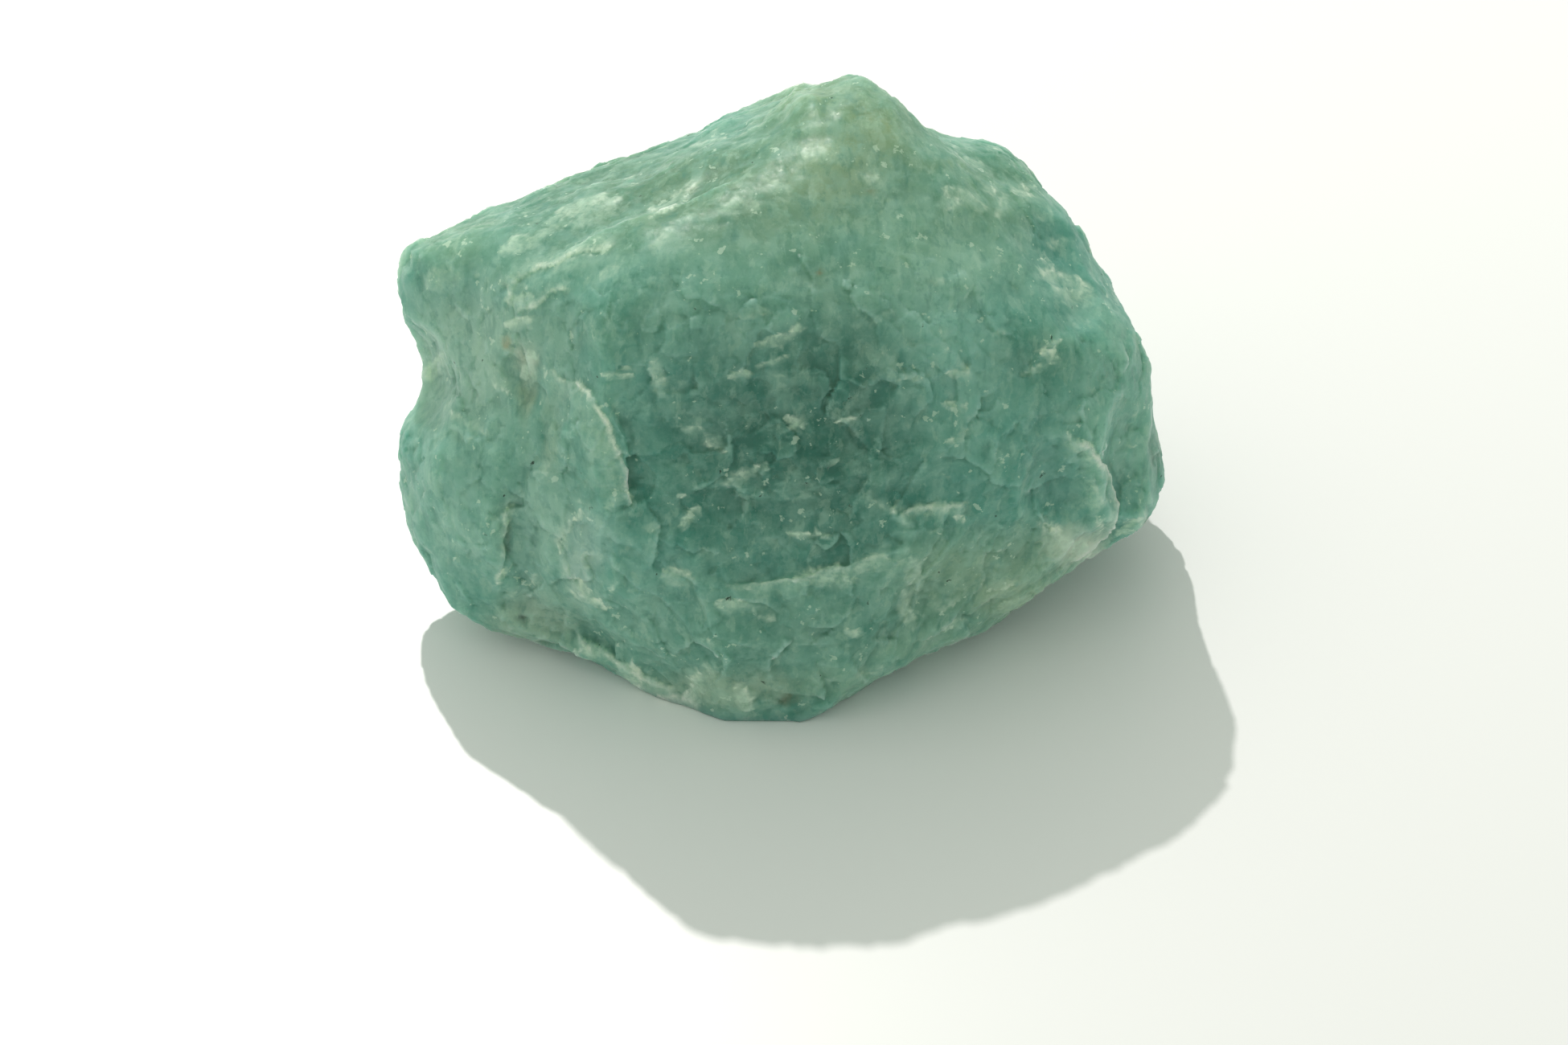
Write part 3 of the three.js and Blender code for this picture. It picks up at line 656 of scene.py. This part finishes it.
def layFlake(surface, tree, bend, point, length, width, lying, pale, edge):
    middle, facing, flakes = surface["points"][point], surface["facings"][point], stone["flakes"]
    along = (lying - facing * lying.dot(facing)).normalized()
    across = facing.cross(along)
    square = flakes["squareness"]
    for place, i, away in tree.find_range(middle, flakes["search"] * max(length, width)):
        off = place - middle
        s = off.dot(along) / (0.5 * length)
        t = off.dot(across) / (0.5 * width) - bend * s * s
        s += flakes["skew"] * t + wandering(place, flakes["endWander"])
        reach = square * max(abs(s), abs(t)) + (1 - square) * (abs(s) + abs(t))
        reach += wandering(place, flakes["rimWander"])
        if reach < flakes["outside"]:
            inside = smoothStep(*flakes["insideRange"], reach)
            lift = flakes["leastLift"] + (1 - flakes["leastLift"]) * pale
            surface["rise"][i] += flakes["thickness"] * inside * lift
            fading = flakes["fading"] + wandering(place, flakes["fadingWander"])
            fading += flakes["fadingAcross"] * min(max(t, -1), 1)
            cover = inside * pale * min(max(fading, 0.0), 1.0)
            surface["flake"][i] = max(surface["flake"][i], cover)
            brink = math.exp(-((reach - flakes["edgeAt"]) / flakes["edgeWidth"]) ** 2)
            brink *= 1.0 if t > 0 else flakes["farEdge"]
            brink *= smoothStep(*flakes["edgeRange"], fractal(place, *flakes["edgeGaps"]))
            surface["rim"][i] = max(surface["rim"][i], brink * edge)


# How far each point bulges (above 0) or lies in a hollow (below 0), evened out over its neighbours.
def bulges(worked):
    bulge, neighbours = [], []
    for vert in worked.verts:
        ring = [edge.other_vert(vert) for edge in vert.link_edges]
        centre = sum((other.co for other in ring), Vector()) / len(ring)
        bulge.append((vert.co - centre).dot(vert.normal) / stone["voxel"])
        neighbours.append([other.index for other in ring])
    share = stone["wornBlurShare"]
    for _ in range(stone["wornBlur"]):
        around = [sum(bulge[j] for j in near) / len(near) for near in neighbours]
        bulge = [(1 - share) * own + share * others for own, others in zip(bulge, around)]
    return bulge


def shapeStone():
    print("stone: even mesh from the CAD solid")
    mesh = withModifier(copyOfSolid("amazonite"), "REMESH", {"mode": "VOXEL", "voxel_size": stone["voxel"]})
    worked = bmesh.new()
    worked.from_mesh(mesh)
    smooth(worked, worked.verts, stone["softening"])
    worked.verts.ensure_lookup_table()
    worked.normal_update()
    middle = wearPlaces(worked)
    worked.normal_update()

    # positions and normals in face coordinates, and what is added to each point: how far it rises, how milky
    # it is as a flake or a facet, how bright as a torn edge, and a colour with its share
    count = len(worked.verts)
    surface = {
        "points": [faceCoords(v.co) for v in worked.verts],
        "facings": [faceCoords(v.normal) for v in worked.verts],
        "rise": [0.0] * count,
        "flake": [0.0] * count,
        "rim": [0.0] * count,
        "facet": [0.0] * count,
        "tone": [(0.0, 0.0, 0.0, 0.0)] * count,
    }
    print("stone:", count, "points, middle", tuple(round(c, 3) for c in middle))

    print("stone: lumps, cleavage steps, striae, ribs and facets")
    for i, place in enumerate(surface["points"]):
        surface["rise"][i], surface["facet"][i] = breakAt(place, surface["facings"][i])
    markSeenSide(surface, middle)

    tree = kdtree.KDTree(count)
    for i, place in enumerate(surface["points"]):
        tree.insert(place, i)
    tree.balance()
    dice = random.Random(stone["seed"])
    chipShells(surface, tree, dice)
    print("stone: thin flakes")
    bend = stone["flakes"]["bend"]
    for flake in chooseFlakes(surface, tree, middle, dice):
        layFlake(surface, tree, dice.uniform(-bend, bend), *flake)

    print("stone: moving the points, and finding worn edges and hollows for the colour")
    floorLevel = min(v.co.z for v in worked.verts)
    for vert, rise in zip(worked.verts, surface["rise"]):
        vert.co += vert.normal * rise * smoothStep(0.0, stone["flatRim"], vert.co.z - floorLevel)
        vert.co.z = max(vert.co.z, floorLevel)
    worked.normal_update()
    surface["bulge"] = bulges(worked)
    surface["toneShare"] = [tone[3] for tone in surface["tone"]]
    bmesh.ops.scale(worked, vec=(mm, mm, mm), verts=worked.verts)
    finished = bpy.data.meshes.new("amazonite_lump")
    worked.to_mesh(finished)
    worked.free()
    for name in ("flake", "rim", "bulge", "facet", "toneShare"):
        layer = finished.attributes.new(name, "FLOAT", "POINT")
        layer.data.foreach_set("value", surface[name])
    layer = finished.attributes.new("tone", "FLOAT_COLOR", "POINT")
    layer.data.foreach_set("color", [channel for tone in surface["tone"] for channel in (*tone[:3], 1.0)])

    triangles = sum(len(p.vertices) - 2 for p in finished.polygons)
    print("stone:", triangles, "triangles, thinned to", stone["triangles"])
    if triangles > stone["triangles"]:
        finished = withModifier(finished, "DECIMATE", {"ratio": stone["triangles"] / triangles})
    finished.name = "amazonite_lump"
    finished.polygons.foreach_set("use_smooth", [True] * len(finished.polygons))
    piece = bpy.data.objects.new("amazonite_lump", finished)
    bpy.context.scene.collection.objects.link(piece)
    return piece


# Amazonite is green microcline feldspar. Broken open it is waxy and slightly see-through, milky where white
# albite threads (perthite) run through it, and pale along thin flakes and torn edges.
amazoniteFinish = {
    "deep": "#559a8a",
    "clear": "#72ad9e",
    "milky": "#9ac6b6",
    "streak": "#3d8375",
    "flake": "#bfdcc7",
    "edge": "#e4f1df",
    # painted shade, laid into hollows and cracks
    "hollow": "#3c7a66",
    # pale crumbs, also used as painted glints
    "glintAndCrumb": "#cfe6d2",
    "dust": "#1d2a24",
    "roughness": (0.34, 0.58),  # on the smoothest and on the coarsest grain
    "gloss": 0.28,
    "refraction": 1.53,
    "depthOfLight": 3.2,  # mm that light travels inside, for a channel with the radius 1
    "radii": (1.05, 1.0, 0.85),  # red, green and blue
    "bump": 0.18,
    "bumpHeight": 0.1,  # mm
    # noises: how many to a mm, detail and roughness, and for those that are drawn out, their lean in degrees,
    # how much they are drawn out across, up and out of the face, and how much they are distorted
    "patterns": {
        "clouds": (0.2, 4.0, 0.6),  # of milky and clear feldspar, 4 to 12 mm across
        "mottling": (0.75, 4.0, 0.55),  # milky, 0.5 to 2 mm across
        "grains": (1.7, 4.0, 0.6),  # 0.2 to 0.6 mm across, strong in some places and faint in others
        "grainPlaces": (0.33, 2.0, 0.5),
        "raggedness": (1.1, 5.0, 0.65),  # of the blocks' borders
        "patches": (0.8, 5.0, 0.62, -5, (0.75, 1.5, 1.0), 0.3),  # milky and deep, 0.5 to 2 mm long
        "streaks": (0.9, 4.0, 0.6, -3, (0.75, 3.2, 1.0), 0.0),  # upright, of the gridiron twinning, 3 mm tall
        "threads": (0.95, 4.0, 0.6, 13, (1.3, 0.4, 0.6), 0.6),  # perthite: dashes 0.5 to 2 mm long
        "unevenness": (3.2, 3.0, 0.6),  # of the thin flakes
        "glintsAndCrumbs": (1.35, 3.0, 0.6),  # bright crumbs and painted glints, 0.1 to 0.4 mm across
        "glintAndCrumbPlaces": (0.42, 3.0, 0.6),
        "fineGrain": (2.8, 5.0, 0.65),  # of the break, 0.1 to 0.4 mm, as bump
    },
    "grainStrength": (0.05, 0.36),
    "blocks": {"lean": -4, "drawnOut": (0.7, 1.9, 1.0), "raggedness": 1.3},
    "blockLayers": [(0.72, 0.12), (1.9, 0.08)],  # how many to a mm, and how much they differ
    "glintsAndCrumbsAtEdges": 0.14,
    # dust specks, 0.15 to 0.25 mm across
    "specks": {"perMm": 0.5, "size": (0.06, 0.03), "strength": 0.85, "rarity": 0.32},
}


def finishStone():
    finish = amazoniteFinish
    material = bpy.data.materials.new("amazonite feldspar, broken and cleaved")
    material.use_nodes = True
    tree = material.node_tree
    tree.nodes.clear()
    colours = {name: linearColour(value) for name, value in finish.items() if isinstance(value, str)}

    # object coordinates, turned so that y runs up the broad face and z out of it, in millimetres
    objectPlace = addNode(tree, "ShaderNodeTexCoord").outputs["Object"]
    place = addNode(tree, "ShaderNodeMapping", {"vector_type": "POINT"}, {
        "Vector": objectPlace,
        "Rotation": (-(math.pi / 2 - tilt), 0, 0),
        "Scale": (1 / mm, 1 / mm, 1 / mm)}).outputs["Vector"]

    patterns = {}
    for name, (perMm, detail, roughness, *drawnOut) in finish["patterns"].items():
        lean, lengths, distortion = drawnOut or (0, (1.0, 1.0, 1.0), 0.0)
        at = place
        if drawnOut:
            at = addNode(tree, "ShaderNodeMapping", {"vector_type": "TEXTURE"}, {
                "Vector": place, "Rotation": (0, 0, math.radians(lean)), "Scale": lengths}).outputs["Vector"]
        patterns[name] = addNode(tree, "ShaderNodeTexNoise", {}, {
            "Vector": at, "Scale": perMm, "Detail": detail, "Roughness": roughness,
            "Distortion": distortion}).outputs
    sources = {name: outputs["Fac"] for name, outputs in patterns.items()}
    for name in ("facet", "bulge", "flake", "rim", "toneShare"):
        sources[name] = addNode(tree, "ShaderNodeAttribute", {"attribute_name": name}).outputs["Fac"]
    colours["tone"] = addNode(tree, "ShaderNodeAttribute", {"attribute_name": "tone"}).outputs["Color"]

    faintest, strongest = finish["grainStrength"]
    grainStrength = addNode(tree, "ShaderNodeMapRange", {}, {
        "Value": sources["grainPlaces"], "From Min": 0.38, "From Max": 0.62,
        "To Min": faintest, "To Max": strongest}).outputs["Result"]

    # blocks between the cleavages, 0.5 to 2 mm, each with a chance of its own
    blocks = finish["blocks"]
    ragged = addNode(tree, "ShaderNodeVectorMath", {"operation": "MULTIPLY_ADD"}, {
        0: patterns["raggedness"]["Color"], 1: (blocks["raggedness"],) * 3, 2: place}).outputs["Vector"]
    blockPlace = addNode(tree, "ShaderNodeMapping", {"vector_type": "TEXTURE"}, {
        "Vector": ragged, "Rotation": (0, 0, math.radians(blocks["lean"])),
        "Scale": blocks["drawnOut"]}).outputs["Vector"]
    blockLayers = []
    for perMm, difference in finish["blockLayers"]:
        cells = addNode(tree, "ShaderNodeTexVoronoi", {"feature": "F1", "distance": "CHEBYCHEV"}, {
            "Vector": blockPlace, "Scale": perMm, "Randomness": 1.0}).outputs["Color"]
        chance = addNode(tree, "ShaderNodeSeparateColor", {}, {"Color": cells}).outputs["Red"]
        blockLayers += [
            (chance, 0.5, 0.0, difference, "streak", "LINEAR"),
            (chance, 0.55, 1.0, difference, "flake", "LINEAR")]

    # thin flakes are see-through milky sheets with a bright torn edge, a little uneven
    uneven = addNode(tree, "ShaderNodeMapRange", {}, {
        "Value": sources["unevenness"], "From Min": 0.35, "From Max": 0.6,
        "To Min": 0.55, "To Max": 1.2}).outputs["Result"]
    for name in ("flake", "rim"):
        clamped = {"operation": "MULTIPLY", "use_clamp": True}
        sources[name + "Share"] = addNode(tree, "ShaderNodeMath", clamped, {
            0: sources[name], 1: uneven}).outputs["Value"]

    # crumbs, which also stand in as painted glints, lie in clusters and along torn edges: the noise shows
    # above a level that sinks there
    level = addNode(tree, "ShaderNodeMapRange", {}, {
        "Value": sources["glintAndCrumbPlaces"], "From Min": 0.46, "From Max": 0.64,
        "To Min": 0.7, "To Max": 0.61}).outputs["Result"]
    level = addNode(tree, "ShaderNodeMath", {"operation": "MULTIPLY_ADD"}, {
        0: sources["rim"], 1: -finish["glintsAndCrumbsAtEdges"], 2: level}).outputs["Value"]
    aboveLevel = addNode(tree, "ShaderNodeMath", {"operation": "SUBTRACT"}, {
        0: sources["glintsAndCrumbs"], 1: level}).outputs["Value"]

    # dust in the pits
    specks = finish["specks"]
    speckCells = addNode(tree, "ShaderNodeTexVoronoi", {"feature": "F1"}, {
        "Vector": ragged, "Scale": specks["perMm"], "Randomness": 1.0}).outputs
    speck = addNode(tree, "ShaderNodeMapRange", {}, {
        "Value": speckCells["Distance"], "From Min": specks["size"][0], "From Max": specks["size"][1],
        "To Max": specks["strength"]}).outputs["Result"]
    rare = addNode(tree, "ShaderNodeMath", {"operation": "GREATER_THAN"}, {
        0: speckCells["Color"], 1: specks["rarity"]}).outputs["Value"]
    speckShare = addNode(tree, "ShaderNodeMath", {"operation": "MULTIPLY"}, {
        0: speck, 1: rare}).outputs["Value"]

    # what is laid over what: the source, where it begins and where it is whole, how much it then covers, the
    # colour, and how it rises
    layers = [
        (sources["clouds"], 0.34, 0.64, 1.0, "clear", "SMOOTHSTEP"),
        (sources["toneShare"], 0.0, 1.0, 1.0, "tone", "LINEAR"),
        (sources["mottling"], 0.4, 0.68, 0.36, "milky", "SMOOTHSTEP"),
        (sources["grains"], 0.54, 0.7, grainStrength, "milky", "SMOOTHSTEP"),
        (sources["grains"], 0.46, 0.32, grainStrength, "streak", "SMOOTHSTEP"),
        # each facet is a little deeper or milkier than the next
        (sources["facet"], 0.1, 0.8, 0.2, "milky", "LINEAR"),
        (sources["facet"], -0.1, -0.8, 0.16, "streak", "LINEAR"),
        *blockLayers,
        (sources["patches"], 0.44, 0.37, 0.2, "streak", "LINEAR"),
        (sources["patches"], 0.565, 0.63, 0.2, "flake", "LINEAR"),
        (sources["streaks"], 0.54, 0.7, 0.34, "streak", "SMOOTHSTEP"),
        (sources["threads"], 0.6, 0.72, 0.2, "milky", "SMOOTHSTEP"),
        (sources["bulge"], -0.02, -0.12, 0.5, "hollow", "LINEAR"),  # hollows and cracks painted deeper green, a painted shade in the recesses
        (sources["bulge"], 0.025, 0.12, 0.45, "milky", "LINEAR"),  # and worn edges paler
        (sources["flakeShare"], 0.0, 1.0, 1.0, "flake", "LINEAR"),
        (sources["rimShare"], 0.0, 1.0, 1.0, "edge", "LINEAR"),
        # pale crumbs that also stand in as painted glints
        (aboveLevel, 0.0, 0.03, 0.5, "glintAndCrumb", "LINEAR"),
        (speckShare, 0.0, 1.0, 1.0, "dust", "LINEAR"),
    ]
    base = colours["deep"]
    for source, low, high, most, colour, rising in layers:
        share = addNode(tree, "ShaderNodeMapRange", {"interpolation_type": rising}, {
            "Value": source, "From Min": low, "From Max": high, "To Max": most}).outputs["Result"]
        base = addNode(tree, "ShaderNodeMix", {"data_type": "RGBA"}, {
            "Factor": share, 6: base, 7: colours[colour]}).outputs[2]

    relief = addNode(tree, "ShaderNodeMath", {"operation": "MULTIPLY_ADD"}, {
        0: sources["threads"], 1: 0.3, 2: sources["fineGrain"]}).outputs["Value"]
    bump = addNode(tree, "ShaderNodeBump", {}, {
        "Height": relief, "Strength": finish["bump"],
        "Distance": finish["bumpHeight"] * mm}).outputs["Normal"]
    smoothest, coarsest = finish["roughness"]
    roughness = addNode(tree, "ShaderNodeMapRange", {}, {
        "Value": sources["fineGrain"], "From Min": 0.3, "From Max": 0.7,
        "To Min": smoothest, "To Max": coarsest}).outputs["Result"]
    shader = addNode(tree, "ShaderNodeBsdfPrincipled", {"subsurface_method": "RANDOM_WALK"}, {
        "Base Color": base, "Roughness": roughness, "Normal": bump, "IOR": finish["refraction"],
        "Specular IOR Level": finish["gloss"], "Subsurface Weight": 1.0, "Subsurface Radius": finish["radii"],
        "Subsurface Scale": finish["depthOfLight"] * mm})
    addNode(tree, "ShaderNodeOutputMaterial", {}, {"Surface": shader.outputs["BSDF"]})
    return material


lump = shapeStone()
lump.data.materials.append(finishStone())
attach(lump, "root")
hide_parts("amazonite")

studio = {
    "floorColour": "#fdfcff",
    "floorRoughness": 0.35,
    "floorSize": 3.0,  # m
    "lampPlace": (-0.0706, 0.2635, 0.3025),  # m; near, high behind the stone and a little to the left
    "lampSize": 0.004,  # m, its radius
    "lampPower": 3.6,
    "lampColour": "#fffaf5",
    "fillStrength": 0.665,
    "fillColour": "#f2faec",
    "fillFromCamera": 0.8,  # share of the fill that is left on the camera's side of the room
    "fillFromLeft": 1.3,  # and how much more of it comes from the left than from the right
}


def makeFloor():
    shape = bmesh.new()
    bmesh.ops.create_grid(shape, x_segments=1, y_segments=1, size=studio["floorSize"] / 2)
    mesh = bpy.data.meshes.new("floor")
    shape.to_mesh(mesh)
    shape.free()
    floor = bpy.data.objects.new("floor", mesh)
    bpy.context.scene.collection.objects.link(floor)
    material = bpy.data.materials.new("white acrylic sheet")
    material.use_nodes = True
    shader = material.node_tree.nodes["Principled BSDF"]
    shader.inputs["Base Color"].default_value = linearColour(studio["floorColour"])
    shader.inputs["Roughness"].default_value = studio["floorRoughness"]
    mesh.materials.append(material)


def makeLights():
    lamp = bpy.data.lights.new("lamp", "POINT")
    lamp.energy = studio["lampPower"]
    lamp.shadow_soft_size = studio["lampSize"]
    lamp.color = linearColour(studio["lampColour"])[:3]
    lampObject = bpy.data.objects.new("lamp", lamp)
    lampObject.location = studio["lampPlace"]
    bpy.context.scene.collection.objects.link(lampObject)

    # a white room that is a little darker on the camera's side
    world = bpy.data.worlds.new("studio")
    world.use_nodes = True
    tree = world.node_tree
    background = tree.nodes["Background"]
    background.inputs["Color"].default_value = linearColour(studio["fillColour"])
    direction = addNode(tree, "ShaderNodeTexCoord").outputs["Generated"]
    towardsCamera = addNode(tree, "ShaderNodeVectorMath", {"operation": "DOT_PRODUCT"}, {
        0: direction, 1: (0.0, -1.0, 0.0)}).outputs["Value"]
    strength = addNode(tree, "ShaderNodeMapRange", {"interpolation_type": "SMOOTHSTEP"}, {
        "Value": towardsCamera, "From Min": 0.0, "From Max": 0.9, "To Min": studio["fillStrength"],
        "To Max": studio["fillStrength"] * studio["fillFromCamera"]}).outputs["Result"]
    towardsLeft = addNode(tree, "ShaderNodeVectorMath", {"operation": "DOT_PRODUCT"}, {
        0: direction, 1: (-1.0, 0.0, 0.0)}).outputs["Value"]
    uneven = addNode(tree, "ShaderNodeMapRange", {}, {
        "Value": towardsLeft, "From Min": -1.0, "From Max": 1.0, "To Min": 1 / studio["fillFromLeft"],
        "To Max": studio["fillFromLeft"]}).outputs["Result"]
    strength = addNode(tree, "ShaderNodeMath", {"operation": "MULTIPLY"}, {
        0: strength, 1: uneven}).outputs["Value"]
    tree.links.new(strength, background.inputs["Strength"])
    bpy.context.scene.world = world


def makeCamera():
    middle = middleOf([faceCoords(Vector(v.co)) for v in lump.data.vertices])
    aim = acrossFace * middle.x + upFace * (middle.y - view["aimBelow"] * mm) + outOfFace * middle.z
    camera = bpy.data.cameras.new("camera")
    camera.sensor_width = view["sensorWidth"]
    camera.lens = view["sensorWidth"] * view["distance"] / view["pictureWidth"]
    camera.clip_start = 0.01
    cameraObject = bpy.data.objects.new("camera", camera)
    cameraObject.location = aim + outOfFace * view["distance"] * mm
    cameraObject.rotation_euler = outOfFace.to_track_quat("Z", "Y").to_euler()
    bpy.context.scene.collection.objects.link(cameraObject)
    bpy.context.scene.camera = cameraObject


makeFloor()
makeLights()
makeCamera()
bpy.context.scene.view_settings.view_transform = "Standard"
